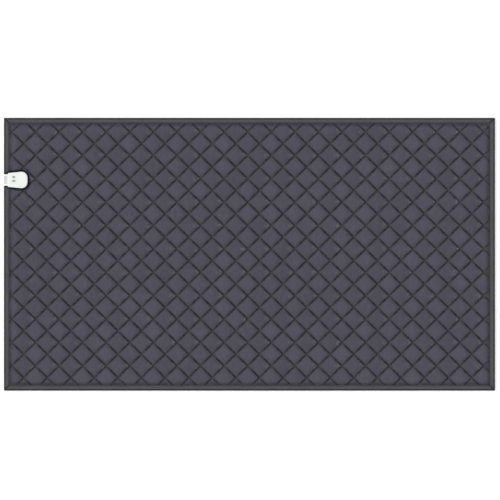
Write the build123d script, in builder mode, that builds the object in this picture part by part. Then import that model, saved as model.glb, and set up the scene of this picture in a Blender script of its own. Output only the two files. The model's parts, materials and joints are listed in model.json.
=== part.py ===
"""A flat quilted infrared heating blanket with a socket inlet at one end.

Millimetres, +Z up. +X runs along the length, away from the inlet, and +Y across the width.
The origin is on the floor under the middle of the blanket. The blanket folds in half about
a line along Y at X = 0, so every layer is made as an inlet half and a far half.
"""

import os
from math import degrees

from build123d import *

os.makedirs("parts", exist_ok=True)

# Outline of the blanket
LENGTH = 1800.0
WIDTH = 1000.0
FOLD_CLEARANCE = 0.3

# Layers, from the floor up
COVER = 1.2
BASE_WADDING = 3.8
FILM = 0.3
FELT = 1.5
WIRE_SPACE = 3.2
TOP_WADDING = 4.8

# Edge binding, a folded tape round the rim
BINDING = 1.2
BINDING_WIDTH = 20.0
BINDING_HEIGHT = 10.0
TAPE_CLEARANCE = 0.3
QUILT_SLOPE = 13.7
UNDERSIDE_SLOPE = 5.7
WADDING_RIM = 36.0
LAYER_CLEARANCE = 1.0

# Heating wire
WIRE_DIAMETER = 2.2
WIRE_RUNS = 11
WIRE_MARGIN = 70.0
RETURN_MARGIN = 45.0
FOLD_TURN = 60.0
RETURN_BEND = 30.0
INLET_BEND = 20.0
LEAD_OUT = 12.5
LEAD_SPACING = 16.0
CUTOUT_SIZE = (8.0, 22.0, 3.0)
CUTOUT_RUN = 5
CRIMP_SIZE = (18.0, 5.0, 3.0)
CRIMP_BACK = 60.0
SENSOR_LEAD_DIAMETER = 1.6
SENSOR_REACH = 36.0
SENSOR_LENGTH = 12.0
SENSOR_DIAMETER = 3.0
BORE_CLEARANCE = 0.1

# Inlet module; its plan is drawn from the blanket's edge inwards
INLET_Y = 272.0
INLET_LENGTH = 87.5
NECK_START = 0.5
NECK_WIDTH = 42.2
SHOULDER = 15.5
SHOULDER_WIDTH = 51.0
SHOULDER_RADIUS = 3.0
END_WIDTH = 65.0
END_CROWN = 3.0
END_RADIUS = 22.0
INLET_PROUD = 5.0
NECK_DROP = 4.0
PARTING = 10.0
SHELL_WALL = 2.0
CROWN_RADIUS = 4.0
SOLE_RADIUS = 1.5
NECK_RADIUS = 2.5
UNDER_CLEARANCE = 0.2
SEAT_CLEARANCE = 0.2
CUT_OVERLAP = 1.0
GASKET_WIDTH = 5.5
GASKET_PROUD = 0.8

# Socket in the neck
SLEEVE_WALL = 2.0
WINDOW_SIZE = (11.0, 30.0)
CARRIER_WALL = 1.8
CARRIER_END = 32.0
SOCKET_DEPTH = 24.0
PIN_COUNT = 3
PIN_SPACING = 9.0
PIN_DIAMETER = 2.4
PIN_TIP = 10.0
PIN_TAIL = 36.0
PIN_LEG_DIAMETER = 1.2

# Circuit board and what it carries
BOARD_START = 33.0
BOARD_SIZE = (33.0, 36.0, 1.6)
BOARD_BOTTOM = 11.5
BOARD_POST = 5.0
BOARD_POST_INSET = 3.5
RELAY_SIZE = (15.0, 10.0, 5.0)
RELAY_PLACE = (47.5, 8.0)
CONTROLLER_SIZE = (7.0, 7.0, 1.2)
CONTROLLER_PLACE = (45.5, -3.0)
CAPACITOR_DIAMETER = 6.0
CAPACITOR_HEIGHT = 5.0
CAPACITOR_PLACE = (58.0, -10.0)
TERMINAL_SIZE = (10.0, 22.0)
TERMINAL_X = 55.0
TERMINAL_CLEARANCE = 0.2
SWITCH_SIDE = 6.0
SWITCH_HEIGHT = 2.5
PLUNGER_DIAMETER = 3.4
PLUNGER_PROUD = 1.2
PLUNGER_LENGTH = 2.8

# Keys
KEY_X = 37.2
POWER_KEY_Y = 10.4
POWER_KEY_SIZE = (10.0, 7.0)
HEAT_KEY_Y = -3.5
HEAT_KEY_SIZE = (13.0, 6.0)
KEY_PROUD = 0.6
KEY_FLANGE = 1.0
KEY_CLEARANCE = 0.35
KEY_ROUNDING = 0.5

# Cable clamp and screws
CLAMP_X = 79.0
CLAMP_SIZE = (4.0, 30.0, 2.2)
CLAMP_SCREW_Y = 12.0
CLAMP_SCREW = 2.2
CLAMP_HEAD = 4.0
CLAMP_HEAD_HEIGHT = 1.4
SCREW = 3.0
SCREW_CLEARANCE = 0.2
SCREW_HEAD = 5.6
SCREW_HEAD_HEIGHT = 2.0
SCREW_LENGTH = 12.0
HEAD_CLEARANCE = 0.3
UPPER_BOSS = 6.4
LOWER_BOSS = 8.0
SCREW_PLACES = ((40.0, 23.0), (40.0, -23.0), (72.0, 21.0), (72.0, -21.0))

# Heights worked out from the layers
base_wadding_z = COVER
film_z = base_wadding_z + BASE_WADDING
felt_z = film_z + FILM
wire_space_z = felt_z + FELT
top_wadding_z = wire_space_z + WIRE_SPACE
top_cover_z = top_wadding_z + TOP_WADDING
pad_top = top_cover_z + COVER
upper_rim_z = BINDING_HEIGHT - BINDING - COVER
wire_z = wire_space_z + WIRE_SPACE / 2
inlet_floor = BINDING + COVER + UNDER_CLEARANCE
inlet_top = pad_top + INLET_PROUD
neck_top = inlet_top - NECK_DROP
roof_z = inlet_top - SHELL_WALL
board_top = BOARD_BOTTOM + BOARD_SIZE[2]

# Insets from the outline
rim_inset = BINDING + TAPE_CLEARANCE
bend_inset = BINDING_WIDTH + TAPE_CLEARANCE

# Places along the wire's route
run_start = LENGTH / 2 - INLET_LENGTH - LEAD_OUT - INLET_BEND
run_pitch = (run_start - FOLD_TURN) / (WIRE_RUNS - 1)
run_end_y = WIDTH / 2 - WIRE_MARGIN
turn = run_pitch / 2
return_y = WIDTH / 2 - RETURN_MARGIN

HALVES = {"inlet_half": -1, "far_half": 1}


def finish(block, name):
    """Label a finished piece and write it as its own file."""
    block.part.label = name
    export_step(block.part, f"parts/{name}.step")


def inlet_plane(z):
    """A level plane with its origin at the blanket's edge, in line with the inlet."""
    return Plane(origin=(-LENGTH / 2, INLET_Y, z))


def trim_to_half(side):
    """Cut the part being built back to one side of the fold."""
    fold = Plane.YZ.offset(side * FOLD_CLEARANCE / 2)
    split(bisect_by=fold, keep=Keep.TOP if side > 0 else Keep.BOTTOM)


def outline(inset, z):
    """The blanket's outline moved inwards, as a sketch at a height."""
    with BuildSketch(Plane.XY.offset(z)) as sketch:
        Rectangle(LENGTH - 2 * inset, WIDTH - 2 * inset)
    return sketch.sketch


def slope_between(outer_inset, outer_z, inner_inset, inner_z, mode=Mode.ADD):
    """A four-sided slope from one level rectangle to another, in the part being built."""
    ends = [outline(outer_inset, outer_z), outline(inner_inset, inner_z)]
    loft(ends, ruled=True, mode=mode)


def inlet_plan(z, grow=0.0, neck_from=None):
    """The inlet from above, grown all round, with its neck if the neck's start is given."""
    side = INLET_LENGTH - END_CROWN
    reach = SHOULDER + SHOULDER_RADIUS + SHELL_WALL
    with BuildSketch(inlet_plane(z)) as sketch:
        with BuildLine():
            Polyline(
                (side, -END_WIDTH / 2),
                (SHOULDER, -SHOULDER_WIDTH / 2),
                (SHOULDER, SHOULDER_WIDTH / 2),
                (side, END_WIDTH / 2),
            )
            ThreePointArc((side, END_WIDTH / 2), (INLET_LENGTH, 0), (side, -END_WIDTH / 2))
        make_face()
        corners = sketch.vertices().group_by(Axis.X)
        fillet(corners[-1], END_RADIUS)
        fillet(corners[0], SHOULDER_RADIUS)
        if grow:
            offset(amount=grow)
        if neck_from is not None:
            with Locations(((neck_from + reach) / 2, 0)):
                Rectangle(reach - neck_from, NECK_WIDTH + 2 * grow)
    return sketch.sketch


def cut_inlet_opening(low):
    """Take out the place where the inlet and its gasket sit, from a height upwards."""
    place = inlet_plan(low, GASKET_WIDTH + SEAT_CLEARANCE, -GASKET_WIDTH)
    extrude(place, amount=pad_top, mode=Mode.SUBTRACT)


def rods(start, z, places, diameter):
    """Circles that face along X, at distances across from the inlet's middle."""
    plane = Plane(origin=(-LENGTH / 2 + start, INLET_Y, z), x_dir=(0, 1, 0), z_dir=(1, 0, 0))
    with BuildSketch(plane) as sketch:
        with Locations(*[(across, 0) for across in places]):
            Circle(diameter / 2)
    return sketch.sketch


def cut_lead_holes(start, length):
    """Holes along X for the two leads and the sensor's lead."""
    leads = (-LEAD_SPACING / 2, LEAD_SPACING / 2)
    for places, diameter in ((leads, WIRE_DIAMETER), ((0,), SENSOR_LEAD_DIAMETER)):
        holes = rods(start, wire_z, places, diameter + 2 * BORE_CLEARANCE)
        extrude(holes, amount=length, mode=Mode.SUBTRACT)


# ---- Soft layers, each in two halves


def cover(side, rim_z, flat_z, flat_inset):
    """A fabric cover with a flat rim, a slope all round and a flat middle."""
    rises = flat_z > rim_z
    solid_lift = COVER if rises else 0
    with BuildPart() as sheet:
        extrude(outline(rim_inset, rim_z), amount=COVER)
        slope_between(bend_inset, rim_z + solid_lift, flat_inset, flat_z + solid_lift)
        hole_lift = COVER - solid_lift
        slope_between(
            bend_inset, rim_z + hole_lift, flat_inset, flat_z + hole_lift, Mode.SUBTRACT
        )
        trim_to_half(side)
        if rises and side < 0:
            cut_inlet_opening(rim_z - COVER)
    return sheet


def layer(side, low, thickness):
    """A flat inner layer, clear of the wadding's rim."""
    with BuildPart() as sheet:
        extrude(outline(WADDING_RIM + LAYER_CLEARANCE, low), amount=thickness)
        trim_to_half(side)
        if side < 0:
            cut_inlet_opening(low - thickness)
    return sheet


def top_wadding(side):
    """The upper filling, with a thick rim that reaches down into the binding."""
    low = BINDING + COVER
    with BuildPart() as wadding:
        extrude(outline(rim_inset, low), amount=upper_rim_z - low)
        slope_between(bend_inset, upper_rim_z, bend_inset + QUILT_SLOPE, top_cover_z)
        pocket = outline(WADDING_RIM, low)
        extrude(pocket, amount=top_wadding_z - low, mode=Mode.SUBTRACT)
        trim_to_half(side)
        if side < 0:
            cut_inlet_opening(low - COVER)
    return wadding


for half, side in HALVES.items():
    bottom_cover = cover(side, BINDING, 0, bend_inset + UNDERSIDE_SLOPE)
    finish(bottom_cover, f"{half}_bottom_cover")
    finish(layer(side, base_wadding_z, BASE_WADDING), f"{half}_base_wadding")
    finish(layer(side, film_z, FILM), f"{half}_reflective_film")
    finish(layer(side, felt_z, FELT), f"{half}_heater_felt")
    finish(top_wadding(side), f"{half}_top_wadding")
    top_cover = cover(side, upper_rim_z, top_cover_z, bend_inset + QUILT_SLOPE)
    finish(top_cover, f"{half}_top_cover")


# ---- Edge binding: straight strips of folded tape that meet in mitres


def binding_strip(corners, beside_inlet=False):
    """A strip of the binding over a plan outline, hollow where the layers go in."""
    with BuildPart() as strip:
        with BuildSketch():
            Polygon(*corners, align=None)
        extrude(amount=BINDING_HEIGHT)
        inside = outline(BINDING, BINDING)
        extrude(inside, amount=BINDING_HEIGHT - 2 * BINDING, mode=Mode.SUBTRACT)
        if beside_inlet:
            cut_inlet_opening(BINDING)
    return strip


def long_strip(x_side, y_side):
    """The strip along one long side, from the fold to a mitred corner."""
    fold = x_side * FOLD_CLEARANCE / 2
    outer = y_side * WIDTH / 2
    inner = y_side * (WIDTH / 2 - BINDING_WIDTH)
    corner = x_side * LENGTH / 2
    mitre = x_side * (LENGTH / 2 - BINDING_WIDTH)
    return binding_strip([(fold, inner), (fold, outer), (corner, outer), (mitre, inner)])


def inlet_end_strip(y_side):
    """The strip at the inlet's end, from the gasket to a mitred corner."""
    start = INLET_Y + y_side * (NECK_WIDTH / 2 + GASKET_WIDTH + SEAT_CLEARANCE)
    outer = -LENGTH / 2
    inner = outer + BINDING_WIDTH
    corner = y_side * WIDTH / 2
    mitre = y_side * (WIDTH / 2 - BINDING_WIDTH)
    corners = [(inner, start), (outer, start), (outer, corner), (inner, mitre)]
    return binding_strip(corners, beside_inlet=True)


def far_end_strip():
    """The strip at the far end, mitred at both corners."""
    outer = LENGTH / 2
    inner = outer - BINDING_WIDTH
    mitre = WIDTH / 2 - BINDING_WIDTH
    return binding_strip(
        [(inner, -mitre), (outer, -WIDTH / 2), (outer, WIDTH / 2), (inner, mitre)]
    )


for half, x_side in HALVES.items():
    finish(long_strip(x_side, 1), f"{half}_back_binding")
    finish(long_strip(x_side, -1), f"{half}_front_binding")
finish(inlet_end_strip(1), "inlet_end_back_binding")
finish(inlet_end_strip(-1), "inlet_end_front_binding")
finish(far_end_strip(), "far_end_binding")


# ---- Heating wire and leads, straight runs joined by tangent arcs


def wire(start, heading, moves, diameter=WIRE_DIAMETER):
    """A round wire laid flat; a move is a straight length or a (radius, degrees) bend."""
    with BuildPart() as laid:
        with BuildLine() as route:
            at = Vector(*start, wire_z)
            along = Vector(*heading)
            for move in moves:
                if isinstance(move, tuple):
                    piece = JernArc(at, along, *move)
                else:
                    piece = Line(at, at + along * move)
                at = piece @ 1
                along = piece % 1
        with BuildSketch(Plane(origin=route.line @ 0, z_dir=route.line % 0)):
            Circle(diameter / 2)
        sweep()
    return laid


def runs(first_length, way):
    """A serpentine's moves: runs along Y with a half turn between each two, cut short for
    the wider turn over the fold."""
    full = 2 * (run_end_y - turn)
    moves = [first_length]
    for _ in range(1, WIRE_RUNS):
        moves += [(turn, way * 180), full]
        way = -way
    moves[-1] -= FOLD_TURN - turn
    return moves


def bored_block(place, size, axis):
    """A block on the wire, with a bore along one axis that the wire goes through."""
    at = (*place, wire_z)
    with BuildPart() as block:
        with Locations(at):
            Box(*size)
        with BuildSketch(Plane(origin=at, z_dir=axis)):
            Circle(WIRE_DIAMETER / 2 + BORE_CLEARANCE)
        extrude(amount=max(size), both=True, mode=Mode.SUBTRACT)
    return block


supply_y = INLET_Y - LEAD_SPACING / 2
lead_y = INLET_Y + LEAD_SPACING / 2
lead_end = -LENGTH / 2 + TERMINAL_X + TERMINAL_SIZE[0]
lead_length = -run_start - INLET_BEND - lead_end
fold_x = FOLD_CLEARANCE / 2
fold_angle = 90 - degrees(fold_x / FOLD_TURN)
crimp_x = run_start - CRIMP_BACK

first_run = supply_y - INLET_BEND + run_end_y - turn
inlet_wire = wire(
    (lead_end, supply_y),
    (1, 0),
    [lead_length, (INLET_BEND, -90), *runs(first_run, 1), (FOLD_TURN, fold_angle)],
)
finish(inlet_wire, "inlet_half_heating_wire")

far_feed = run_start - RETURN_BEND - crimp_x
first_run = return_y - RETURN_BEND + run_end_y - turn
far_wire = wire(
    (crimp_x, return_y),
    (1, 0),
    [far_feed, (RETURN_BEND, -90), *runs(first_run, -1), (FOLD_TURN, -fold_angle)],
)
finish(far_wire, "far_half_heating_wire")

far_return = wire((fold_x, return_y), (1, 0), [crimp_x - fold_x])
finish(far_return, "far_half_return_lead")

inlet_return = wire(
    (-fold_x, return_y),
    (-1, 0),
    [
        run_start - RETURN_BEND - fold_x,
        (RETURN_BEND, 90),
        return_y - RETURN_BEND - lead_y - INLET_BEND,
        (INLET_BEND, -90),
        lead_length,
    ],
)
finish(inlet_return, "inlet_half_return_lead")

cutout_x = run_start - CUTOUT_RUN * run_pitch
for half, side in HALVES.items():
    cutout = bored_block((side * cutout_x, 0), CUTOUT_SIZE, (0, 1, 0))
    finish(cutout, f"{half}_thermal_cutout")
finish(bored_block((crimp_x, return_y), CRIMP_SIZE, (1, 0, 0)), "far_half_crimp_sleeve")

sensor_x = SENSOR_REACH - run_start
sensor_lead = wire(
    (lead_end, INLET_Y), (1, 0), [sensor_x - lead_end], SENSOR_LEAD_DIAMETER
)
finish(sensor_lead, "sensor_lead")

with BuildPart() as temperature_sensor:
    extrude(rods(sensor_x + LENGTH / 2, wire_z, [0], SENSOR_DIAMETER), amount=SENSOR_LENGTH)
    fillet(temperature_sensor.edges().group_by(Axis.X)[-1], SENSOR_DIAMETER / 4)
finish(temperature_sensor, "temperature_sensor")


# ---- Inlet: two shells, the neck's sleeve with its socket, and the gasket round them


def rounds(z, places, diameter):
    """Circles at places given from the blanket's edge, as a sketch at a height."""
    with BuildSketch(inlet_plane(z)) as sketch:
        with Locations(*places):
            Circle(diameter / 2)
    return sketch.sketch


def block_plan(z, start, length, width, y=0.0):
    """A rectangle that starts at a distance from the blanket's edge, centred on y."""
    with BuildSketch(inlet_plane(z)) as sketch:
        with Locations((start + length / 2, y)):
            Rectangle(length, width)
    return sketch.sketch


def key_plan(z, y, size, grow=0.0):
    """A key's slot shape from above, grown all round."""
    with BuildSketch(inlet_plane(z)) as sketch:
        with Locations((KEY_X, y)):
            SlotOverall(size[0] + 2 * grow, size[1] + 2 * grow)
    return sketch.sketch


def cut_carrier_way():
    """The way through a shell's front wall for the contact carrier."""
    width = carrier_width + 2 * SEAT_CLEARANCE
    start = SHOULDER - CUT_OVERLAP
    length = SHELL_WALL + 2 * CUT_OVERLAP
    way = block_plan(carrier_z - SEAT_CLEARANCE, start, length, width)
    extrude(way, amount=carrier_height + 2 * SEAT_CLEARANCE, mode=Mode.SUBTRACT)


floor_top = inlet_floor + SHELL_WALL
carrier_z = inlet_floor + SLEEVE_WALL + SEAT_CLEARANCE
carrier_width = NECK_WIDTH - 2 * SLEEVE_WALL - 2 * SEAT_CLEARANCE
carrier_height = neck_top - SLEEVE_WALL - SEAT_CLEARANCE - carrier_z
pin_z = carrier_z + carrier_height / 2
shank_z = inlet_floor + HEAD_CLEARANCE + SCREW_HEAD_HEIGHT
screw_top = shank_z + SCREW_LENGTH
clamp_z = wire_z + WIRE_DIAMETER / 2 + BORE_CLEARANCE
clamp_top = clamp_z + CLAMP_SIZE[2]
clamp_screws_at = [(CLAMP_X, -CLAMP_SCREW_Y), (CLAMP_X, CLAMP_SCREW_Y)]
clamp_start = CLAMP_X - CLAMP_SIZE[0] / 2
board_posts = [
    (BOARD_START + along, across)
    for along in (BOARD_POST_INSET, BOARD_SIZE[0] - BOARD_POST_INSET)
    for across in (BOARD_POST_INSET - BOARD_SIZE[1] / 2, BOARD_SIZE[1] / 2 - BOARD_POST_INSET)
]
keys = {"power": (POWER_KEY_Y, POWER_KEY_SIZE), "heat": (HEAT_KEY_Y, HEAT_KEY_SIZE)}

with BuildPart() as upper_shell:
    extrude(inlet_plan(PARTING), amount=inlet_top - PARTING)
    fillet(upper_shell.faces().sort_by(Axis.Z)[-1].edges(), CROWN_RADIUS)
    inside = inlet_plan(PARTING, -SHELL_WALL)
    extrude(inside, amount=roof_z - PARTING, mode=Mode.SUBTRACT)
    extrude(rounds(PARTING, SCREW_PLACES, UPPER_BOSS), amount=roof_z - PARTING)
    pilots = rounds(PARTING, SCREW_PLACES, SCREW + SCREW_CLEARANCE)
    extrude(pilots, amount=screw_top + SCREW_CLEARANCE - PARTING, mode=Mode.SUBTRACT)
    for key_y, key_size in keys.values():
        aperture = key_plan(roof_z, key_y, key_size, KEY_CLEARANCE)
        extrude(aperture, amount=SHELL_WALL, mode=Mode.SUBTRACT)
    cut_carrier_way()
finish(upper_shell, "upper_shell")

with BuildPart() as lower_shell:
    extrude(inlet_plan(inlet_floor), amount=PARTING - inlet_floor)
    fillet(lower_shell.faces().sort_by(Axis.Z)[0].edges(), SOLE_RADIUS)
    inside = inlet_plan(floor_top, -SHELL_WALL)
    extrude(inside, amount=PARTING - floor_top, mode=Mode.SUBTRACT)
    extrude(rounds(floor_top, SCREW_PLACES, LOWER_BOSS), amount=PARTING - floor_top)
    extrude(rounds(floor_top, board_posts, BOARD_POST), amount=BOARD_BOTTOM - floor_top)
    saddle = block_plan(floor_top, clamp_start, *CLAMP_SIZE[:2])
    extrude(saddle, amount=wire_z - WIRE_DIAMETER / 2 - BORE_CLEARANCE - floor_top)
    extrude(rounds(floor_top, clamp_screws_at, BOARD_POST), amount=clamp_z - floor_top)
    heads = rounds(inlet_floor, SCREW_PLACES, SCREW_HEAD + 2 * HEAD_CLEARANCE)
    extrude(heads, amount=shank_z - inlet_floor, mode=Mode.SUBTRACT)
    holes = rounds(shank_z, SCREW_PLACES, SCREW + SCREW_CLEARANCE)
    extrude(holes, amount=PARTING - shank_z, mode=Mode.SUBTRACT)
    clamp_holes = rounds(floor_top, clamp_screws_at, CLAMP_SCREW + SCREW_CLEARANCE)
    extrude(clamp_holes, amount=clamp_z - floor_top, mode=Mode.SUBTRACT)
    cut_carrier_way()
    cut_lead_holes(CLAMP_X + CLAMP_SIZE[0], INLET_LENGTH - CLAMP_X)
finish(lower_shell, "lower_shell")

with BuildPart() as socket_sleeve:
    neck_length = SHOULDER - NECK_START
    neck = block_plan(inlet_floor, NECK_START, neck_length, NECK_WIDTH)
    extrude(neck, amount=neck_top - inlet_floor)
    fillet(socket_sleeve.edges().filter_by(Axis.X), NECK_RADIUS)
    bore_width = NECK_WIDTH - 2 * SLEEVE_WALL
    bore = block_plan(inlet_floor + SLEEVE_WALL, NECK_START, neck_length, bore_width)
    extrude(bore, amount=neck_top - inlet_floor - 2 * SLEEVE_WALL, mode=Mode.SUBTRACT)
    window_start = NECK_START + (neck_length - WINDOW_SIZE[0]) / 2
    window = block_plan(neck_top - SLEEVE_WALL, window_start, *WINDOW_SIZE)
    extrude(window, amount=SLEEVE_WALL, mode=Mode.SUBTRACT)
finish(socket_sleeve, "socket_sleeve")

pin_places = [(k - (PIN_COUNT - 1) / 2) * PIN_SPACING for k in range(PIN_COUNT)]
with BuildPart() as contact_carrier:
    carrier_start = NECK_START + SEAT_CLEARANCE
    body = block_plan(carrier_z, carrier_start, CARRIER_END - carrier_start, carrier_width)
    extrude(body, amount=carrier_height)
    socket_width = carrier_width - 2 * CARRIER_WALL
    socket = block_plan(carrier_z + CARRIER_WALL, carrier_start, SOCKET_DEPTH, socket_width)
    extrude(socket, amount=carrier_height - 2 * CARRIER_WALL, mode=Mode.SUBTRACT)
    bores = rods(carrier_start, pin_z, pin_places, PIN_DIAMETER + 2 * BORE_CLEARANCE)
    extrude(bores, amount=CARRIER_END, mode=Mode.SUBTRACT)
finish(contact_carrier, "contact_carrier")

with BuildPart() as contact_pins:
    extrude(rods(PIN_TIP, pin_z, pin_places, PIN_DIAMETER), amount=PIN_TAIL - PIN_TIP)
    fillet(contact_pins.edges().group_by(Axis.X)[0], PIN_DIAMETER / 4)
    legs = [(PIN_TAIL - PIN_LEG_DIAMETER, across) for across in pin_places]
    extrude(rounds(pin_z, legs, PIN_LEG_DIAMETER), amount=BOARD_BOTTOM - pin_z)
finish(contact_pins, "contact_pins")

with BuildPart() as gasket_frame:
    outside = inlet_plan(inlet_floor, GASKET_WIDTH, NECK_START)
    extrude(outside, amount=pad_top + GASKET_PROUD - inlet_floor)
    inside = inlet_plan(inlet_floor, SEAT_CLEARANCE, -NECK_START)
    extrude(inside, amount=inlet_top, mode=Mode.SUBTRACT)
    edge_x = -LENGTH / 2
    with BuildSketch(Plane.XZ.offset(-INLET_Y)):
        Polygon(
            (edge_x, BINDING_HEIGHT + GASKET_PROUD),
            (edge_x + bend_inset, BINDING_HEIGHT + GASKET_PROUD),
            (edge_x + bend_inset + QUILT_SLOPE, pad_top + GASKET_PROUD),
            (edge_x, pad_top + GASKET_PROUD),
            align=None,
        )
    extrude(amount=END_WIDTH, both=True, mode=Mode.SUBTRACT)
    cut_lead_holes(CLAMP_X, INLET_LENGTH - CLAMP_X + 2 * GASKET_WIDTH)
finish(gasket_frame, "gasket_frame")


# ---- Inside the inlet


def board_part(place, size):
    """A block that stands on the circuit board."""
    start, y = place
    with BuildPart() as block:
        extrude(block_plan(board_top, start, size[0], size[1], y), amount=size[2])
    return block


with BuildPart() as circuit_board:
    board = block_plan(BOARD_BOTTOM, BOARD_START, *BOARD_SIZE[:2])
    extrude(board, amount=BOARD_SIZE[2])
finish(circuit_board, "circuit_board")

finish(board_part(RELAY_PLACE, RELAY_SIZE), "relay")
finish(board_part(CONTROLLER_PLACE, CONTROLLER_SIZE), "microcontroller")

with BuildPart() as capacitor:
    can = rounds(board_top, [CAPACITOR_PLACE], CAPACITOR_DIAMETER)
    extrude(can, amount=CAPACITOR_HEIGHT)
finish(capacitor, "capacitor")

with BuildPart() as terminal_block:
    foot_z = floor_top + TERMINAL_CLEARANCE
    terminals = block_plan(foot_z, TERMINAL_X, *TERMINAL_SIZE)
    extrude(terminals, amount=BOARD_BOTTOM - TERMINAL_CLEARANCE - foot_z)
finish(terminal_block, "terminal_block")

with BuildPart() as cable_clamp:
    extrude(block_plan(clamp_z, clamp_start, *CLAMP_SIZE[:2]), amount=CLAMP_SIZE[2])
    holes = rounds(clamp_z, clamp_screws_at, CLAMP_SCREW + SCREW_CLEARANCE)
    extrude(holes, amount=CLAMP_SIZE[2], mode=Mode.SUBTRACT)
finish(cable_clamp, "cable_clamp")

with BuildPart() as clamp_screws:
    extrude(rounds(clamp_top, clamp_screws_at, CLAMP_HEAD), amount=CLAMP_HEAD_HEIGHT)
    shank_length = clamp_top - floor_top - SCREW_CLEARANCE
    extrude(rounds(clamp_top, clamp_screws_at, CLAMP_SCREW), amount=-shank_length)
finish(clamp_screws, "clamp_screws")

with BuildPart() as shell_screws:
    head_z = shank_z - SCREW_HEAD_HEIGHT
    extrude(rounds(head_z, SCREW_PLACES, SCREW_HEAD), amount=SCREW_HEAD_HEIGHT)
    extrude(rounds(shank_z, SCREW_PLACES, SCREW), amount=SCREW_LENGTH)
finish(shell_screws, "shell_screws")


# ---- Keys, each over a small switch whose plunger moves with it

flange_top = roof_z - KEY_CLEARANCE
plunger_top = board_top + SWITCH_HEIGHT + PLUNGER_PROUD
switch_start = KEY_X - SWITCH_SIDE / 2

for name, (key_y, key_size) in keys.items():
    with BuildPart() as key:
        cap = key_plan(flange_top, key_y, key_size)
        extrude(cap, amount=inlet_top + KEY_PROUD - flange_top)
        fillet(key.faces().sort_by(Axis.Z)[-1].edges(), KEY_ROUNDING)
        extrude(key_plan(flange_top, key_y, key_size, KEY_FLANGE), amount=-KEY_FLANGE)
        stem = rounds(plunger_top, [(KEY_X, key_y)], PLUNGER_DIAMETER)
        extrude(stem, amount=flange_top - plunger_top)
    finish(key, f"{name}_key")

    with BuildPart() as plunger:
        pin = rounds(plunger_top, [(KEY_X, key_y)], PLUNGER_DIAMETER)
        extrude(pin, amount=-PLUNGER_LENGTH)
    finish(plunger, f"{name}_switch_plunger")

    with BuildPart() as switch:
        case = block_plan(board_top, switch_start, SWITCH_SIDE, SWITCH_SIDE, key_y)
        extrude(case, amount=SWITCH_HEIGHT)
        well = rounds(board_top, [(KEY_X, key_y)], PLUNGER_DIAMETER + 2 * KEY_CLEARANCE)
        extrude(well, amount=SWITCH_HEIGHT, mode=Mode.SUBTRACT)
    finish(switch, f"{name}_switch_body")
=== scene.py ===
import json
import math

import bmesh
import bpy
import numpy as np
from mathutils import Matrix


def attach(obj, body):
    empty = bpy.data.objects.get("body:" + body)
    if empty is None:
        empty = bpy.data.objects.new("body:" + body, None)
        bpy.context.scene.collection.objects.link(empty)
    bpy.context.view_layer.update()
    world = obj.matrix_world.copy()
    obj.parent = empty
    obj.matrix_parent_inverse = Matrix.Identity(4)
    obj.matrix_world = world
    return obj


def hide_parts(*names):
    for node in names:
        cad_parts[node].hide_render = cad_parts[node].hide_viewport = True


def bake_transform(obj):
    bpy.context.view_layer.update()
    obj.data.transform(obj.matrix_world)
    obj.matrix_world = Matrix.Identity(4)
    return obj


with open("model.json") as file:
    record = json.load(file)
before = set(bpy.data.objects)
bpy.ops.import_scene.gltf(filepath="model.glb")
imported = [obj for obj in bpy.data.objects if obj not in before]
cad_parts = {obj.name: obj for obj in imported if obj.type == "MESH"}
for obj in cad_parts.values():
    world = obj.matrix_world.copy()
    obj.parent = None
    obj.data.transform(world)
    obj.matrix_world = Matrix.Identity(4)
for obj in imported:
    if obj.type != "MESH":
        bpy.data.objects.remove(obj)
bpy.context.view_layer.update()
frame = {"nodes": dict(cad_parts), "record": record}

# ---- Sizes in metres. The blanket's own are those of the CAD part
HALF_LENGTH = 0.9
HALF_WIDTH = 0.5
# How far inside the outline the underside's cloth ends, and the layers over it
RIM = 0.0015
LAYER_INSET = 0.037
INLET_Y = 0.272
NECK_HALF_WIDTH = 0.0211
GASKET_WIDTH = 0.0055
# The inlet's plan is the hull of these circles and their mirror images: along, across, radius
INLET_CIRCLES = ((0.0185, 0.0228, 0.003), (0.0653, 0.0084, 0.022), (0.0875, 0, 0))

# The quilting's diamonds: one crossing of two seams, and half a diamond's width and height
CROSSING = (-0.8706, 0.448)
DIAMOND_HALF = (0.0432, 0.04285)
DIAMOND_SIDE = 0.0608
# Diamonds from that crossing along each set of seams: enough to reach past the blanket
DIAMOND_SPANS = ((-12, 22), (-1, 32))
# Mesh lines across half a diamond, closest together beside its seam
STATIONS = (0, 0.0017, 0.0042, 0.008, 0.013, 0.0185, 0.0245, 0.0304)
# How far in from the outline the quilting starts, and where it comes out from under the tape
QUILT_EDGE = 0.012
TAPE_COVERS = 0.0205
SEAM_Z = 0.0106
CROWN_LIFT = 0.0042
PAD_UNDERSIDE_Z = 0.01
PAD_TOP_LIMIT = 0.0168
# The lower, the flatter a diamond's crown and the steeper its sides
CROWN_POWER = 0.42
# The inlet's hole, from the gasket's outer edge: what is cut out, which points beside it are
# drawn in, and how far inside the edge they end
HOLE_EDGE = -0.0035
DRAWN_IN = 0.0008
TUCK = 0.002
# By distance in from the outline: how high the seams are, how much of its lift the cloth has,
# and how high the pad's underside is
SEAM_HEIGHTS = ((QUILT_EDGE, TAPE_COVERS, 0.034), (0.008, 0.0087, SEAM_Z))
LIFT_AT_RIM = ((TAPE_COVERS, 0.026, 0.04), (0, 0.6, 1))
UNDERSIDE_HEIGHTS = ((0.028, 0.034), (0.0026, PAD_UNDERSIDE_Z))
# By distance out from the gasket: how much of its lift the cloth has
LIFT_AT_GASKET = ((-TUCK, 0.001, 0.012), (0.3, 0.45, 1))
# The pad's underside is flat further than this from the outline, the fold and the gasket
FLAT_FROM_EDGE, FLAT_FROM_FOLD, FLAT_FROM_GASKET = 0.041, 0.02, 0.004
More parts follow.
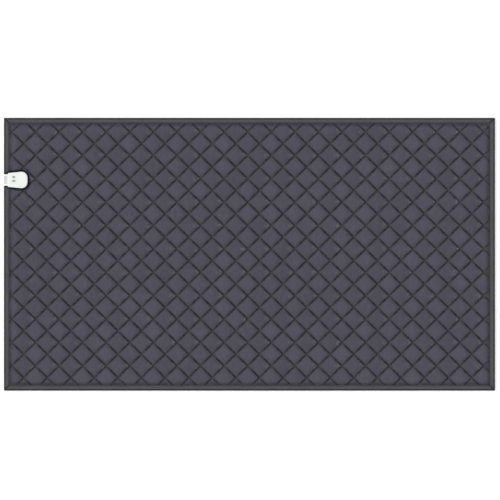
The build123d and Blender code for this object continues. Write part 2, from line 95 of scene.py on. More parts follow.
# How dark the painted shade in the quilting's seams is: by its distance from a seam, by its place
# on the seam from one crossing to the next on its right, and by its distance in from the outline
SHADE_ACROSS = ((0.0013, 0.0019, 0.0043, 0.0046), (1, 0.85, 0.15, 0))
SHADE_ALONG = ((0, 0.004, 0.012, 0.03, 0.056, 0.0608), (0.3, 0.45, 0.65, 0.87, 1, 0.7))
SHADE_AT_RIM = ((0.0205, 0.026, 0.03, 0.035), (0.45, 0.45, 0.22, 0))
# How dark the painted shade at the seams of one set is beside that at the other
OTHER_SEAMS = 0.94
# No seam shows nearer to the outline than this, nor this close to the gasket
SEAMS_START = 0.0215
SEAMS_OFF_GASKET = 0.001

# Flat layers from below, each with where it starts and its thickness
BASE_WADDING = (0.0013, 0.0036)
FILM_LAYER = (0.005, 0.0003)
FELT_LAYER = (0.0054, 0.0013)
LAYER_CLEARANCE = 0.0002
# The underside turns up under the tape between these two distances from the outline
UNDER_RIM = (0.0203, 0.026)
UNDER_RISE = 0.0013
UNDER_THICKNESS = 0.0011
UNDER_STEP = 0.02
UNDER_ROWS = 51

# Mesh lines across the fold, and how far from it the even ones stop
fold_columns = np.arange(-7, 8) * 0.002
FOLD_CLEAR = 0.016


# ---- Materials

# On the quilted cloth: how far one diamond's tone may be off the next one's, how much lighter
# every other row is painted than the rows between, as painted light and shade, and the colour of
# the painted highlights on gathers in the rows between
DIAMOND_TONE = 0.2
ROW_LIGHT_AND_SHADE = -0.42
GATHER_HIGHLIGHT = "#727176"
# Noise stays mostly between these two
NOISE_RANGE = {"From Min": 0.35, "From Max": 0.65}


def linear(colour):
    """A hex sRGB colour as the linear colour that a shader's socket takes."""
    parts = [int(colour[k : k + 2], 16) / 255 for k in (1, 3, 5)]
    return (*[p / 12.92 if p <= 0.04045 else ((p + 0.055) / 1.055) ** 2.4 for p in parts], 1)


def add(tree, kind, inputs=None, **settings):
    """Add a node with its settings. An input is a plain value, or the socket that feeds it."""
    node = tree.nodes.new(kind)
    for name, value in settings.items():
        setattr(node, name, value)
    for name, value in (inputs or {}).items():
        if isinstance(value, bpy.types.NodeSocket):
            tree.links.new(value, node.inputs[name])
        else:
            node.inputs[name].default_value = value
    return node


def finish_called(name, sockets):
    """A new material with plain values on its shader's sockets."""
    material = bpy.data.materials.new(name)
    material.use_nodes = True
    shader = material.node_tree.nodes["Principled BSDF"]
    for socket, value in sockets.items():
        shader.inputs[socket].default_value = value
    return material, material.node_tree, shader


def mottled(name, light, dark, patch, grain, relief, sockets):
    """A moulded, cast or felted finish: two close colours in patches, and a fine grain."""
    material, tree, shader = finish_called(name, sockets)
    place = add(tree, "ShaderNodeTexCoord").outputs["Object"]
    patches = add(
        tree, "ShaderNodeTexNoise", {"Vector": place, "Scale": 1 / patch, "Detail": 3.0}
    )
    spread = add(tree, "ShaderNodeMapRange", {"Value": patches.outputs["Fac"], **NOISE_RANGE})
    colour = add(
        tree,
        "ShaderNodeMix",
        {0: spread.outputs[0], 6: linear(light), 7: linear(dark)},
        data_type="RGBA",
    )
    tree.links.new(colour.outputs[2], shader.inputs["Base Color"])
    grains = add(
        tree, "ShaderNodeTexNoise", {"Vector": place, "Scale": 1 / grain, "Detail": 2.0}
    )
    bump = add(
        tree,
        "ShaderNodeBump",
        {"Height": grains.outputs["Fac"], "Distance": relief, "Strength": 1.0},
    )
    tree.links.new(bump.outputs[0], shader.inputs["Normal"])
    return material


def woven(
    name, light, dark, crease_shade_colour, thread, relief, crepe, sockets, corner_shade=None, uneven=(0.95, 1.05)
):
    """A plain weave: crossing threads, slow colour changes, soft puckers, and painted shade: a
    darker colour as deep as the piece's own attribute for it says, more or less so by how the
    puckers fall. A quilted cloth is painted with shade too, darker towards the corners of the
    diamonds that its UV map counts, where the cloth dips to its seams. Every other row of them is
    painted lighter than the rows between, as painted light and shade, and the rows between have
    painted highlights on gathers at their right corners."""
    material, tree, shader = finish_called(name, sockets)
    place = add(tree, "ShaderNodeTexCoord")
    threads = [
        add(
            tree,
            "ShaderNodeTexWave",
            {"Vector": place.outputs["Object"], "Scale": math.pi / 10 / thread},
            bands_direction=way,
        )
        for way in "XY"
    ]
    weave = add(
        tree,
        "ShaderNodeMath",
        {0: threads[0].outputs["Fac"], 1: threads[1].outputs["Fac"]},
        operation="MAXIMUM",
    )
    upright = add(tree, "ShaderNodeMapping", {"Vector": place.outputs["Object"]})
    upright.inputs["Scale"].default_value = (1.0, 0.25, 1.0)
    streaks = add(
        tree,
        "ShaderNodeTexNoise",
        {"Vector": upright.outputs[0], "Scale": 0.4 / thread, "Detail": 2.0},
    )
    puckers = add(
        tree,
        "ShaderNodeTexNoise",
        {"Vector": place.outputs["Object"], "Scale": 1 / crepe, "Detail": 3.0, "Distortion": 1.2},
    )
    slow = add(
        tree,
        "ShaderNodeTexNoise",
        {"Vector": place.outputs["Object"], "Scale": 12.0, "Detail": 2.0},
    )
    tone = add(
        tree,
        "ShaderNodeMath",
        {0: streaks.outputs["Fac"], 1: slow.outputs["Fac"]},
        operation="ADD",
    )
    if corner_shade:
        cell = add(tree, "ShaderNodeVectorMath", {0: place.outputs["UV"]}, operation="FLOOR")
        tone_and_row_light = add(tree, "ShaderNodeTexWhiteNoise", {"Vector": cell.outputs[0]})
        tone_and_row_light = add(
            tree,
            "ShaderNodeMath",
            {0: tone_and_row_light.outputs["Value"], 1: DIAMOND_TONE, 2: 0.1},
            operation="MULTIPLY_ADD",
        )
        halves = add(
            tree,
            "ShaderNodeVectorMath",
            {0: cell.outputs[0], 1: (0.5, 0.5, 0)},
            operation="DOT_PRODUCT",
        )
        # A half in every other row of diamonds, and 0 in the rows between
        other_row = add(tree, "ShaderNodeMath", {0: halves.outputs["Value"]}, operation="FRACT")
        # Painted light and shade: every other row of diamonds is painted lighter than the rows
        # between
        tone_and_row_light = add(
            tree,
            "ShaderNodeMath",
            {0: other_row.outputs[0], 1: ROW_LIGHT_AND_SHADE, 2: tone_and_row_light.outputs[0]},
            operation="MULTIPLY_ADD",
        )
        tone = add(
            tree, "ShaderNodeMath", {0: tone.outputs[0], 1: tone_and_row_light.outputs[0]}, operation="ADD"
        )
    mixed = add(
        tree, "ShaderNodeMapRange", {"Value": tone.outputs[0], "From Min": 0.75, "From Max": 1.35}
    )
    cloth = add(
        tree,
        "ShaderNodeMix",
        {0: mixed.outputs[0], 6: linear(light), 7: linear(dark)},
        data_type="RGBA",
    )
    if corner_shade:
        # Painted shade towards the corners, where the cloth dips to its seams: by how far a point
        # is from the middle of its diamond
        within = add(tree, "ShaderNodeVectorMath", {0: place.outputs["UV"]}, operation="FRACTION")
        off_middle = add(
            tree,
            "ShaderNodeVectorMath",
            {0: within.outputs[0], 1: (0.5, 0.5, 0)},
            operation="DISTANCE",
        )
        corner_shading = add(
            tree,
            "ShaderNodeMapRange",
            {"Value": off_middle.outputs["Value"], "From Min": 0.25, "From Max": 0.62},
        )
        cloth = add(
            tree,
            "ShaderNodeMix",
            {0: corner_shading.outputs[0], 6: cloth.outputs[2], 7: linear(corner_shade)},
            data_type="RGBA",
        )
        # Painted highlights beside the diamond's right corner, where gathers stand as ridges that
        # catch the light
        off_gather = add(
            tree,
            "ShaderNodeVectorMath",
            {0: within.outputs[0], 1: (0.85, 0.85, 0)},
            operation="DISTANCE",
        )
        gathered = add(
            tree,
            "ShaderNodeMapRange",
            {"Value": off_gather.outputs["Value"], "From Min": 0.3, "From Max": 0.08},
        )
        ridges = add(
            tree,
            "ShaderNodeTexNoise",
            {"Vector": place.outputs["Object"], "Scale": 170.0, "Distortion": 2.0},
        )
        ridged = add(
            tree,
            "ShaderNodeMapRange",
            {"Value": ridges.outputs["Fac"], "From Min": 0.54, "From Max": 0.66, "To Max": 0.7},
        )
        this_row = add(
            tree,
            "ShaderNodeMath",
            {0: other_row.outputs[0], 1: -2.0, 2: 1.0},
            operation="MULTIPLY_ADD",
        )
        shown = add(
            tree,
            "ShaderNodeMath",
            {0: gathered.outputs[0], 1: this_row.outputs[0]},
            operation="MULTIPLY",
        )
        caught = add(
            tree,
            "ShaderNodeMath",
            {0: shown.outputs[0], 1: ridged.outputs[0]},
            operation="MULTIPLY",
        )
        cloth = add(
            tree,
            "ShaderNodeMix",
            {0: caught.outputs[0], 6: cloth.outputs[2], 7: linear(GATHER_HIGHLIGHT)},
            data_type="RGBA",
        )
    # Painted shade, as deep as the piece's own attribute for it says and uneven with the puckers
    crease_shade = add(tree, "ShaderNodeAttribute", attribute_name="crease_shade")
    fall = add(
        tree,
        "ShaderNodeMapRange",
        {
            "Value": puckers.outputs["Fac"],
            **NOISE_RANGE,
            "To Min": uneven[0],
            "To Max": uneven[1],
        },
    )
    depth = add(
        tree,
        "ShaderNodeMath",
        {0: crease_shade.outputs["Fac"], 1: fall.outputs[0]},
        operation="MULTIPLY",
        use_clamp=True,
    )
    colour = add(
        tree,
        "ShaderNodeMix",
        {0: depth.outputs[0], 6: cloth.outputs[2], 7: linear(crease_shade_colour)},
        data_type="RGBA",
    )
    tree.links.new(colour.outputs[2], shader.inputs["Base Color"])
    folds = add(
        tree,
        "ShaderNodeBump",
        {"Height": puckers.outputs["Fac"], "Distance": 2.5 * relief, "Strength": 1.0},
    )
    cloth_bump = add(
        tree,
        "ShaderNodeBump",
        {
            "Height": weave.outputs[0],
            "Distance": relief,
            "Strength": 1.0,
            "Normal": folds.outputs[0],
        },
    )
    tree.links.new(cloth_bump.outputs[0], shader.inputs["Normal"])
    return material


# Polyester microfibre cloth, plain woven and piece dyed: matt, with a faint nap along the light.
# Its threads are 0.4 mm apart, drawn at 2.6 mm so that they still show.
# Its seams and its rim under the tape are painted near black as shade, and its diamonds' corners a
# darker grey as shade
COVER_CLOTH = woven(
    "polyester microfibre cloth, plain woven",
    "#423F4D",
    "#393742",
    "#0B0918",
    0.0026,
    0.00018,
    0.011,
    {"Roughness": 0.82, "Sheen Weight": 0.12, "Sheen Roughness": 0.5, "Specular IOR Level": 0.25},
    corner_shade="#3A393E",
    uneven=(0.66, 1.38),
)
# Polyester Oxford cloth with a polyurethane back: a coarse weave, a little shinier. Its threads
# are 0.6 mm apart, drawn at 3.2 mm so that they still show.
# Its third colour is for painted shade, which the underside doesn't take
BACKING_CLOTH = woven(
    "polyester Oxford cloth, coated back",
    "#3A393F",
    "#312F35",
    "#1E1D22",
    0.0032,
    0.00025,
    0.03,
    {"Roughness": 0.6, "Specular IOR Level": 0.4},
)
# Polyester binding tape, narrow woven and folded: a neutral grey beside the cover's violet. Its
# threads are 0.4 mm apart, drawn at 2.2 mm so that they still show.
# Its outer fold, its valley by the seam, its mitres and its inside are painted near black as shade
BINDING_TAPE = woven(
    "polyester binding tape, narrow woven",
    "#424145",
    "#39383B",
    "#08080A",
    0.0022,
    0.00015,
    0.018,
    {"Roughness": 0.72, "Sheen Weight": 0.1, "Specular IOR Level": 0.3},
)
# Spun polyester sewing thread, twisted: darker than the cloth, with a soft gloss.
SEWING_THREAD = mottled(
    "polyester sewing thread, spun",
    "#2E2D33",
    "#232227",
    0.004,
    0.0006,
    0.0001,
    {"Roughness": 0.6},
)
# Polyester wadding, carded and thermobonded: white fibre with open tufts.
WADDING = mottled(
    "polyester wadding, thermobonded",
    "#ECEBE6",
    "#D9D8D2",
    0.02,
    0.0018,
    0.0008,
    {"Roughness": 0.95, "Sheen Weight": 0.3},
)
# Polyester film with vacuum-deposited aluminium: a mirror broken up by fine crinkles.
FILM = mottled(
    "polyester film, vacuum aluminised",
    "#E4E5E7",
    "#CFD1D4",
    0.05,
    0.012,
    0.0006,
    {"Metallic": 1.0, "Roughness": 0.22},
)
# Polyester felt, needle punched: pale grey, dense and quite without gloss.
FELT = mottled(
    "polyester felt, needle punched",
    "#C3C0BC",
    "#B2AFAB",
    0.008,
    0.0012,
    0.0004,
    {"Roughness": 0.95},
)
# Silicone rubber, extruded over the heating wire: brick red, a little chalky.
WIRE_RUBBER = mottled(
    "silicone rubber, extruded",
    "#CB6145",
    "#BC573D",
    0.03,
    0.001,
    0.00004,
    {"Roughness": 0.5, "IOR": 1.41},
)
# Soft PVC, extruded over the sensor's lead: pale grey, smooth and lightly glossy.
LEAD_PVC = mottled(
    "soft PVC, extruded", "#C2C3C4", "#B4B5B6", 0.03, 0.001, 0.00003, {"Roughness": 0.4}
)
# Polyolefin tube, heat shrunk over a joint: black, with a dull even skin.
SHRINK_TUBE = mottled(
    "polyolefin tube, heat shrunk", "#1B1B1D", "#141416", 0.01, 0.0008, 0.00005, {"Roughness": 0.5}
)
# ABS, injection moulded in a spark-eroded tool: warm to green white, with a fine satin grain.
WHITE_ABS = mottled(
    "white ABS, injection moulded, satin",
    "#CDD1CE",
    "#C4C9C6",
    0.03,
    0.0009,
    0.00004,
    {"Roughness": 0.42, "IOR": 1.54, "Coat Weight": 0.05},
)
# The same plastic painted a little whiter for the socket's sleeve: painted light, to make up for
# the shade that falls on it beside the higher body.
SLEEVE_ABS_PAINTED_LIGHTER = mottled(
    "white ABS, injection moulded, satin, painted lighter",
    "#DADEDB",
    "#D2D6D3",
    0.03,
    0.0009,
    0.00004,
    {"Roughness": 0.42, "IOR": 1.54},
)
# The same plastic in grey, for the keys.
GREY_ABS = mottled(
    "grey ABS, injection moulded, satin",
    "#8C8F8E",
    "#848786",
    0.012,
    0.0008,
    0.00004,
    {"Roughness": 0.45, "IOR": 1.54},
)
# Pale grey ABS, for the socket's carrier.
PALE_ABS = mottled(
    "pale grey ABS, injection moulded, satin",
    "#BFC4C2",
    "#B8BDBB",
    0.012,
    0.0008,
    0.00004,
    {"Roughness": 0.45, "IOR": 1.54},
)
# Polyamide, moulded: black, slightly cloudy gloss of a glass-filled plastic.
BLACK_POLYAMIDE = mottled(
    "black polyamide, glass filled, moulded",
    "#1D1D1F",
    "#161618",
    0.006,
    0.0006,
    0.00004,
    {"Roughness": 0.5, "IOR": 1.53},
)
# Polyamide of the terminal block, moulded and undyed: off white, with a soft gloss.
TERMINAL_POLYAMIDE = mottled(
    "undyed polyamide, moulded", "#DADAD4", "#CFCFC9", 0.006, 0.0006, 0.00004, {"Roughness": 0.45}
)
# Glass-epoxy laminate under a green solder mask: smooth, with the glass cloth just showing.
BOARD_LAMINATE = mottled(
    "glass-epoxy laminate, solder masked",
    "#1F5A37",
    "#1A4E30",
    0.004,
    0.0012,
    0.00002,
    {"Roughness": 0.3, "Coat Weight": 0.3},
)
# Thermoplastic rubber, moulded: near black, with a dry matt skin. The gasket is made as dark as
# the shadow round the inlet, which its ring also stands in for: partly painted shadow.
GASKET_RUBBER_AND_SHADOW = mottled(
    "thermoplastic rubber, moulded, matt",
    "#0A0A0C",
    "#070709",
    0.02,
    0.0012,
    0.00006,
    {"Roughness": 0.85, "Specular IOR Level": 0.08},
)
# Free-cutting brass, turned: warm yellow metal with fine turning marks.
PIN_BRASS = mottled(
    "brass, turned",
    "#D9BE7C",
    "#C9AB66",
    0.003,
    0.0004,
    0.00002,
    {"Metallic": 1.0, "Roughness": 0.28},
)
# Aluminium can, deep drawn: pale satin metal.
CAN_ALUMINIUM = mottled(
    "aluminium, deep drawn",
    "#D2D4D6",
    "#BFC1C4",
    0.004,
    0.0005,
    0.00002,
    {"Metallic": 1.0, "Roughness": 0.35},
)
# Steel screws, rolled and zinc plated: bluish metal, a little dull.
ZINC_STEEL = mottled(
    "steel, zinc plated",
    "#C0C4C9",
    "#A9ADB3",
    0.003,
    0.0005,
    0.00002,
    {"Metallic": 1.0, "Roughness": 0.38},
)
# Painted board for the floor: pale, matt and even.
FLOOR_PAINT = mottled(
    "painted board, matt white", "#F6F6F6", "#F4F4F4", 0.8, 0.004, 0.00001, {"Roughness": 0.9}
)

FINISHES = {
    "cover_fabric": COVER_CLOTH,
    "backing_fabric": BACKING_CLOTH,
    "binding_fabric": BINDING_TAPE,
    "wadding": WADDING,
    "reflective_film": FILM,
    "heater_felt": FELT,
    "wire_insulation": WIRE_RUBBER,
    "lead_insulation": LEAD_PVC,
    "heat_shrink": SHRINK_TUBE,
    "white_plastic": WHITE_ABS,
    "grey_plastic": GREY_ABS,
    "black_plastic": BLACK_POLYAMIDE,
    "terminal_plastic": TERMINAL_POLYAMIDE,
    "board_laminate": BOARD_LAMINATE,
    "gasket_rubber": GASKET_RUBBER_AND_SHADOW,
    "pin_brass": PIN_BRASS,
    "capacitor_can": CAN_ALUMINIUM,
    "screw_steel": ZINC_STEEL,
}


# ---- Shapes that several pieces share


def linked(name, data):
    """A new object in the scene for a mesh, a lamp or a camera."""
    made = bpy.data.objects.new(name, data)
    bpy.context.scene.collection.objects.link(made)
    return made


def finished(name, mesh, slot):
    """An object for a mesh, with its slot's finish."""
    mesh.materials.append(FINISHES[slot])
    made = linked(name, mesh)
    return made


def cloth_piece(name, points, faces, slot, crease_shade):
    """A smooth cloth piece in its final place, with how much painted shade each of its points has.
    """
    mesh = bpy.data.meshes.new(name)
    mesh.from_pydata(np.asarray(points).tolist(), [], faces)
    values = np.asarray(crease_shade, np.float32)
    mesh.attributes.new("crease_shade", "FLOAT", "POINT").data.foreach_set("value", values)
    mesh.shade_smooth()
    return finished(name, mesh, slot)


def edge_walls(quads, count):
    """Faces that join a sheet's open edges to those of its copy, whose points come count later."""
    edges = np.concatenate([quads[:, [k, (k + 1) % 4]] for k in range(4)])
    directed = set(map(tuple, edges.tolist()))
    return [[b, a, a + count, b + count] for a, b in directed if (b, a) not in directed]


def across_fold(made, *nodes):
    """Hide both halves' CAD nodes, which the piece stands for, and bake its place into its mesh.
    """
    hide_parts(*[f"{half}_{node}" for node in nodes for half in ("inlet_half", "far_half")])
    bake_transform(made)


def inset_of(x, y):
    """How far points are inside the blanket's outline."""
    return np.minimum(HALF_LENGTH - np.abs(x), HALF_WIDTH - np.abs(y))


def reach_of_inlet(ways):
    """How far the inlet's plan, without its neck, reaches in each direction."""
    hull = [a * np.cos(ways) + b * np.sin(ways) + r for a, b, r in INLET_CIRCLES]
    return np.max(hull, axis=0)


def off_inlet(x, y, grow=0.0):
    """How far points are outside the inlet's plan, grown all round; below 0 inside it. Points
    that are nowhere near it are given a large distance."""
    along, across = np.asarray(x) + HALF_LENGTH, np.abs(np.asarray(y) - INLET_Y)
    ways = np.linspace(0, math.pi, 91)
    body = np.full(along.shape, 1.0)
    close = along < 0.2
    span = along[close][:, None] * np.cos(ways) + across[close][:, None] * np.sin(ways)
    body[close] = np.max(span - reach_of_inlet(ways), axis=1)
    neck = np.maximum(across - NECK_HALF_WIDTH, along - INLET_CIRCLES[0][0])
    return np.minimum(body, neck) - grow


def inlet_outline(grow, start):
    """Points round the inlet's plan, grown, from one side's start along it to the other's."""
    side = []
    for way in np.radians(np.linspace(0, 96, 25)):
        a, b, r = max(
            INLET_CIRCLES, key=lambda c: c[0] * math.cos(way) + c[1] * math.sin(way) + c[2]
        )
        side.append((a + (r + grow) * math.cos(way), b + (r + grow) * math.sin(way)))
    neck_a, neck_b, neck_r = INLET_CIRCLES[0]
    (a1, b1), (a0, b0) = side[-1], (neck_a, neck_b + neck_r + grow)
    side.append((start, b1 + (b0 - b1) * (a1 - start) / (a1 - a0)))
    upper = [(a - HALF_LENGTH, INLET_Y + b) for a, b in reversed(side)]
    lower = [(a - HALF_LENGTH, INLET_Y - b) for a, b in side[1:]]
    return upper + lower


# ---- The quilted top: cover and wadding sewn together in diamonds, and blown up by the filling

FILLING_FRAMES = 12
FILLING_LIMIT = 0.004


def quilt_grid():
    """Mesh lines along both sets of seams, as numbers of diamonds from one crossing."""
    near = np.array(STATIONS) / DIAMOND_SIDE
    cell = np.concatenate([near, 1 - near[-2:0:-1]])
    reach = [
        np.concatenate([*[k + cell for k in range(low, high)], [high]])
        for low, high in DIAMOND_SPANS
    ]
    return np.meshgrid(*reach, indexing="ij")


def pillow(t):
    """The height of filled cloth across a diamond, from 0 at its seams to 1 in its middle."""
    return (4 * (t % 1) * (1 - t % 1)) ** CROWN_POWER


def blow_up(points, faces, held):
    """Cloth simulation: held points stay, and the filling's pressure lifts the others, by no
    more than a set limit."""
    mesh = bpy.data.meshes.new("blown")
    mesh.from_pydata(points.tolist(), [], faces.tolist())
    cloth = linked("blown", mesh)
    cloth.vertex_groups.new(name="sewn").add(np.flatnonzero(held).tolist(), 1.0, "REPLACE")
    physics = cloth.modifiers.new("cloth", "CLOTH")
    rules = physics.settings
    rules.quality = 4
    rules.mass = 0.01
    rules.tension_stiffness = rules.compression_stiffness = 5
    rules.shear_stiffness = 2
    rules.bending_stiffness = 0.05
    rules.shrink_min = -0.03
    rules.use_pressure = True
    rules.uniform_pressure_force = 4
    rules.vertex_group_mass = "sewn"
    rules.effector_weights.gravity = 0
    physics.collision_settings.use_collision = False
    physics.point_cache.frame_start = 1
    physics.point_cache.frame_end = FILLING_FRAMES
    scene = bpy.context.scene
    for frame_number in range(1, FILLING_FRAMES + 1):
        scene.frame_set(frame_number)
    blown = cloth.evaluated_get(bpy.context.evaluated_depsgraph_get()).data
    moved = np.empty(len(points) * 3)
    blown.vertices.foreach_get("co", moved)
    bpy.data.objects.remove(cloth)
    bpy.data.meshes.remove(mesh)
    scene.frame_set(1)
    move = moved.reshape(-1, 3) - points
    far = np.linalg.norm(move, axis=1, keepdims=True)
    return points + move * np.minimum(1, FILLING_LIMIT / np.maximum(far, 1e-9))


count_a, count_b = quilt_grid()
x = CROSSING[0] + DIAMOND_HALF[0] * (count_a + count_b)
y = CROSSING[1] + DIAMOND_HALF[1] * (count_a - count_b)
off_ring = off_inlet(x, y, GASKET_WIDTH)
kept = (inset_of(x, y) > QUILT_EDGE) & (off_ring > HOLE_EDGE)

# Points beside the hole are drawn in to one line inside the gasket, which covers its edge
tucked = kept & (off_ring < DRAWN_IN)
nudge = 1e-5
slope_x = (off_inlet(x[tucked] + nudge, y[tucked], GASKET_WIDTH) - off_ring[tucked]) / nudge
slope_y = (off_inlet(x[tucked], y[tucked] + nudge, GASKET_WIDTH) - off_ring[tucked]) / nudge
pull = -TUCK - off_ring[tucked]
x[tucked] += slope_x * pull
y[tucked] += slope_y * pull

inset = inset_of(x, y)
# A mesh square is made where all four of its corners are kept
cells = kept[:-1, :-1] & kept[1:, :-1] & kept[:-1, 1:] & kept[1:, 1:]
on_a, on_b = (count_a % 1 == 0), (count_b % 1 == 0)
numbers = np.full(count_a.shape, -1)
used = np.zeros(count_a.shape, bool)
for da in (0, 1):
    for db in (0, 1):
        used[da : count_a.shape[0] - 1 + da, db : count_a.shape[1] - 1 + db] |= cells
numbers[used] = np.arange(used.sum())
corner = [numbers[:-1, :-1], numbers[:-1, 1:], numbers[1:, 1:], numbers[1:, :-1]]
quads = np.stack([c[cells] for c in corner], axis=-1)

lift = np.interp(inset, *LIFT_AT_RIM) * np.interp(off_ring, *LIFT_AT_GASKET)
z = np.interp(inset, *SEAM_HEIGHTS) + CROWN_LIFT * lift * pillow(count_a) * pillow(count_b)
top = np.stack([x[used], y[used], z[used]], axis=-1)
sewn = (on_a | on_b | (inset < SEAMS_START) | tucked)[used]
top = blow_up(top, quads, sewn)
top[:, 2] = np.minimum(top[:, 2], PAD_TOP_LIMIT)

# Where the underside is flat, a whole diamond is one face. It has points along a side only
# where the next diamond isn't one face too
diamond = len(STATIONS) * 2 - 2
flat = used & (inset > FLAT_FROM_EDGE)
flat &= (np.abs(x) > FLAT_FROM_FOLD) & (off_ring > FLAT_FROM_GASKET)
plain = [
    (k, n)
    for k in range(0, count_a.shape[0] - 1, diamond)
    for n in range(0, count_a.shape[1] - 1, diamond)
    if flat[k : k + diamond + 1, n : n + diamond + 1].all()
]
top_count = len(top)
under_z = np.interp(inset, *UNDERSIDE_HEIGHTS)[used]
under = np.stack([top[:, 0], top[:, 1], under_z], axis=-1)
below = []
fine = cells.copy()
for k, n in plain:
    fine[k : k + diamond, n : n + diamond] = False
    ring = []
    sides = (
        ((k, n), (0, 1), (k - diamond, n)),
        ((k, n + diamond), (1, 0), (k, n + diamond)),
        ((k + diamond, n + diamond), (0, -1), (k + diamond, n)),
        ((k + diamond, n), (-1, 0), (k, n - diamond)),
    )
    for (i, j), (di, dj), beside in sides:
        steps = range(1 if beside in plain else diamond)
        ring += [int(numbers[i + di * step, j + dj * step]) + top_count for step in steps]
    below.append(ring[::-1])
below += (np.stack([c[fine] for c in corner[::-1]], axis=-1) + top_count).tolist()
faces = quads.tolist() + below + edge_walls(quads, top_count)


def seam_shade(off, along):
    """How dark the painted shade beside a seam is, at numbers of diamonds across a seam and along
    it to the right: it fades on the left of each diamond, where the cloth lies flatter and less
    shade falls."""
    across = np.interp(np.abs(off) * DIAMOND_SIDE, *SHADE_ACROSS)
    return across * np.interp((along % 1) * DIAMOND_SIDE, *SHADE_ALONG)


# Painted shade: darkest beside the seams, and where the quilting comes out from under the tape
off_a, off_b = count_a - np.round(count_a), count_b - np.round(count_b)
at_seams = np.maximum(seam_shade(off_a, count_b), OTHER_SEAMS * seam_shade(off_b, count_a))
crease_shade = np.maximum(at_seams, np.interp(inset, *SHADE_AT_RIM))[used]

quilted_top = cloth_piece(
    "quilted_top", np.concatenate([top, under]), faces, "cover_fabric", np.tile(crease_shade, 2)
)
point_of_loop = np.empty(len(quilted_top.data.loops), np.int32)
quilted_top.data.loops.foreach_get("vertex_index", point_of_loop)
diamonds = np.stack([count_a[used], count_b[used]], axis=-1)[point_of_loop % top_count]
uv_map = quilted_top.data.uv_layers.new(name="diamonds")
uv_map.data.foreach_set("uv", diamonds.astype(np.float32).ravel())
bm = bmesh.new()
bm.from_mesh(quilted_top.data)
loose = [v for v in bm.verts if not v.link_faces]
bmesh.ops.delete(bm, geom=loose, context="VERTS")
bm.to_mesh(quilted_top.data)
bm.free()
across_fold(quilted_top, "top_cover", "top_wadding")


# ---- Stitches along the seams. They are longer and further apart than a real seam's, so that they
# still show

SEAM_PROUD = 0.0001
QUILT_STITCH = {"Pitch": 0.0072, "Stitch length": 0.0046, "Thread": 0.0006}
TAPE_STITCH = {"Pitch": 0.0055, "Stitch length": 0.0038, "Thread": 0.0006}


def begin_tree(name, sizes):
    """A geometry node tree along paths, and its inputs: Paths, its own sizes, and Finish."""
    tree = bpy.data.node_groups.new(name, "GeometryNodeTree")
    inputs = {"Paths": "Geometry", **sizes, "Finish": "Material"}
    for label, kind in inputs.items():
        tree.interface.new_socket(name=label, in_out="INPUT", socket_type=f"NodeSocket{kind}")
    tree.interface.new_socket(name="Made", in_out="OUTPUT", socket_type="NodeSocketGeometry")
    return tree, add(tree, "NodeGroupInput").outputs


def end_tree(tree, made, finish):
    """Close a tree: real and smooth geometry, with its finish, is what it gives back."""
    real = add(tree, "GeometryNodeRealizeInstances", {0: made})
    smooth = add(tree, "GeometryNodeSetShadeSmooth", {0: real.outputs[0]})
    painted = add(tree, "GeometryNodeSetMaterial", {0: smooth.outputs[0], "Material": finish})
    add(tree, "NodeGroupOutput", {0: painted.outputs[0]})
    return tree


def stitch_tree():
    """Geometry nodes that lay one stitch after another along the paths that they are given."""
    tree, given = begin_tree(
        "lock stitches", {"Pitch": "Float", "Stitch length": "Float", "Thread": "Float"}
    )
    curve = add(tree, "GeometryNodeMeshToCurve", {0: given["Paths"]})
    spots = add(
        tree,
        "GeometryNodeCurveToPoints",
        {"Curve": curve.outputs[0], "Length": given["Pitch"]},
        mode="LENGTH",
    )
    grain = add(tree, "GeometryNodeMeshIcoSphere", {"Radius": 0.5, "Subdivisions": 1})
    size = add(
        tree,
        "ShaderNodeCombineXYZ",
        {"X": given["Thread"], "Y": given["Thread"], "Z": given["Stitch length"]},
    )
    stitches = add(
        tree,
        "GeometryNodeInstanceOnPoints",
        {
            "Points": spots.outputs["Points"],
            "Instance": grain.outputs[0],
            "Rotation": spots.outputs["Rotation"],
            "Scale": size.outputs[0],
        },
    )
    return end_tree(tree, stitches.outputs[0], given["Finish"])


def wire_tree():
    """Geometry nodes that draw a round wire along the paths that they are given."""
    tree, given = begin_tree("laid wire", {"Diameter": "Float", "Sides": "Int"})
    curve = add(tree, "GeometryNodeMeshToCurve", {0: given["Paths"]})
    half = add(tree, "ShaderNodeMath", {0: given["Diameter"], 1: 0.5}, operation="MULTIPLY")
    ring = add(
        tree,
        "GeometryNodeCurvePrimitiveCircle",
        {"Resolution": given["Sides"], "Radius": half.outputs[0]},
    )
    tube = add(
        tree,
        "GeometryNodeCurveToMesh",
        {"Curve": curve.outputs[0], "Profile Curve": ring.outputs[0], "Fill Caps": True},
    )
    return end_tree(tree, tube.outputs[0], given["Finish"])


def grown(name, paths, tree, values):
    """Run a tree over paths, lists of points, and keep the result as a plain mesh."""
    points = [p for path in paths for p in path]
    edges, first = [], 0
    for path in paths:
        edges += [(k, k + 1) for k in range(first, first + len(path) - 1)]
        first += len(path)
    lines = bpy.data.meshes.new(name + "_paths")
    lines.from_pydata(points, edges, [])
    made = linked(name, lines)
    growth = made.modifiers.new("growth", "NODES")
    growth.node_group = tree
    for item in tree.interface.items_tree:
        if item.in_out == "INPUT" and item.name in values:
            growth[item.identifier] = values[item.name]
    ready = bpy.context.evaluated_depsgraph_get()
    mesh = bpy.data.meshes.new_from_object(made.evaluated_get(ready), depsgraph=ready)
    made.modifiers.clear()
    made.data = mesh
    mesh.name = name
    return made


